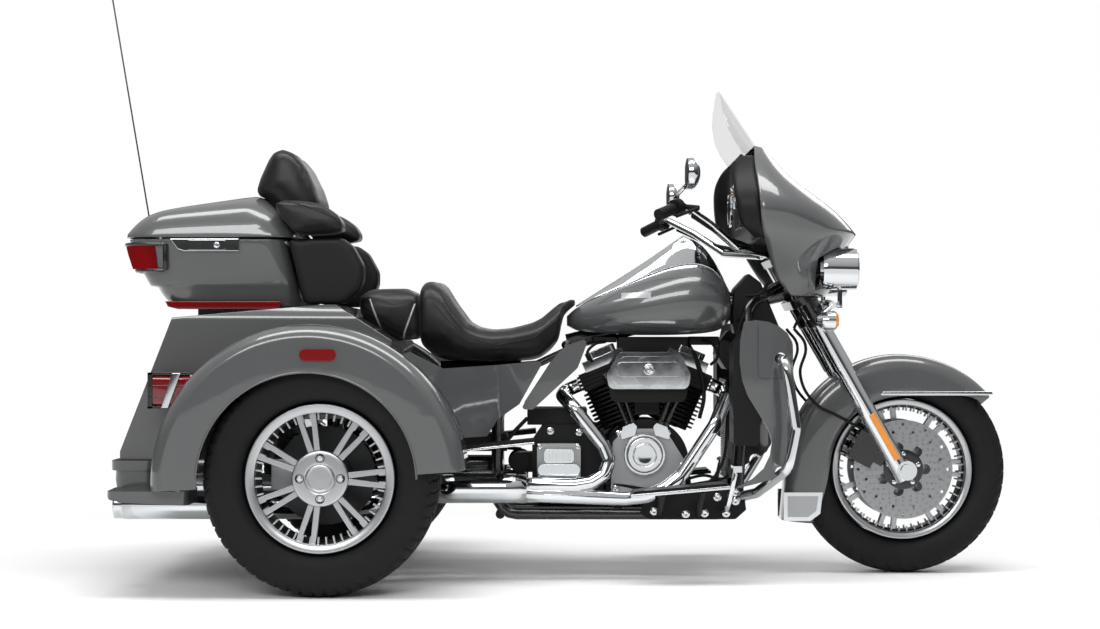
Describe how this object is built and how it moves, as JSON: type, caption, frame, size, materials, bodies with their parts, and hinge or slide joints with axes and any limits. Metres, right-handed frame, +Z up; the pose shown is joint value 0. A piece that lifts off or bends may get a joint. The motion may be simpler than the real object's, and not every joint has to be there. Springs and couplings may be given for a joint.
{
  "type": "motorized touring trike",
  "caption": "Grey three-wheeled touring motorcycle with a vee engine, handlebar fairing, luggage box with lid and a trunk between the rear wheels.",
  "frame": {"origin": "on the ground, midway between the antenna tip and the front of the front tyre, in the middle plane of the machine", "axes": "+X forward, +Y to the left, +Z up"},
  "size_m": [2.7781, 1.39, 1.8024],
  "materials": {
    "body_paint": "mid-grey gloss lacquer",
    "chrome": "polished chrome plate",
    "black_metal": "satin black enamel",
    "black_plastic": "grained black plastic",
    "leather": "black seat cover with a soft sheen",
    "drive_rubber": "black ribbed belt",
    "tyre": "black tyre rubber",
    "wheel_alloy": "machined alloy",
    "disc_steel": "ground steel",
    "red_lens": "clear red lens",
    "amber_lens": "clear amber lens",
    "clear_lens": "clear lamp lens",
    "screen": "clear acrylic screen"
  },
  "bodies": {
    "chassis": {"frame": "black_metal", "engine_case": "black_metal", "cylinders": "black_metal", "rocker_covers": "chrome", "engine_covers": "chrome", "air_cleaner_base": "black_metal", "air_cleaner_cover": "chrome", "gearbox": "black_metal", "primary_cover": "chrome", "exhaust": "chrome", "fuel_tank": "body_paint", "tank_console": "chrome", "rider_seat": "leather", "passenger_seat": "leather", "side_covers": "body_paint", "trunk_body": "body_paint", "rear_fenders": "body_paint", "body_wings": "body_paint", "rear_valance": "body_paint", "rear_axle_housing": "black_metal", "rear_suspension": "black_metal", "belt_drive": "drive_rubber", "rear_calipers": "black_metal", "luggage_rack": "black_metal", "luggage_box": "body_paint", "speaker_pods": "black_plastic", "back_pad": "leather", "rear_lamps": "red_lens", "antenna": "black_plastic", "fairing_lowers": "body_paint", "lower_ducts": "black_plastic", "engine_guard": "chrome", "footboards": "black_plastic", "foot_controls": "chrome"},
    "lid": {"box_lid": "body_paint", "backrest": "leather"},
    "trunk_door_body": {"trunk_door": "body_paint"},
    "steering": {"fork_legs": "chrome", "fork_crown": "black_metal", "front_axle_shaft": "black_metal", "front_fender": "body_paint", "front_calipers": "black_metal", "fairing_outer": "body_paint", "fairing_inner": "black_plastic", "windshield": "screen", "headlamps": "chrome", "lamp_lenses": "clear_lens", "lamp_bar": "chrome", "signal_lenses": "amber_lens", "handlebar": "chrome", "hand_controls": "black_plastic", "mirrors": "black_metal"},
    "front_wheel_body": {"front_wheel": "wheel_alloy", "front_discs": "disc_steel", "front_tyre": "tyre"},
    "rear_right_wheel_body": {"rear_wheel_right": "wheel_alloy", "rear_tyre_right": "tyre"},
    "rear_left_wheel_body": {"rear_wheel_left": "wheel_alloy", "rear_tyre_left": "tyre"}
  },
  "joints": [
    {"name": "steer", "type": "hinge", "parent": "chassis", "child": "steering", "pos_m": [0.73901, 0, 0.88981], "axis": [-0.4384, 0, 0.8988], "range_deg": [-30, 30]},
    {"name": "front_wheel_spin", "type": "hinge", "parent": "steering", "child": "front_wheel_body", "pos_m": [1.074, 0, 0.315], "axis": [0, 1, 0], "continuous": true},
    {"name": "rear_right_wheel_spin", "type": "hinge", "parent": "chassis", "child": "rear_right_wheel_body", "pos_m": [-0.619, -0.55, 0.325], "axis": [0, 1, 0], "continuous": true},
    {"name": "rear_left_wheel_spin", "type": "hinge", "parent": "chassis", "child": "rear_left_wheel_body", "pos_m": [-0.619, 0.55, 0.325], "axis": [0, 1, 0], "continuous": true},
    {"name": "lid_open", "type": "hinge", "parent": "chassis", "child": "lid", "pos_m": [-0.985, 0.31, 1.001], "axis": [-1, 0, 0], "range_deg": [0, 80]},
    {"name": "trunk_door_open", "type": "hinge", "parent": "chassis", "child": "trunk_door_body", "pos_m": [-1.21992, 0, 0.39445], "axis": [0, -1, 0], "range_deg": [0, 100]}
  ]
}
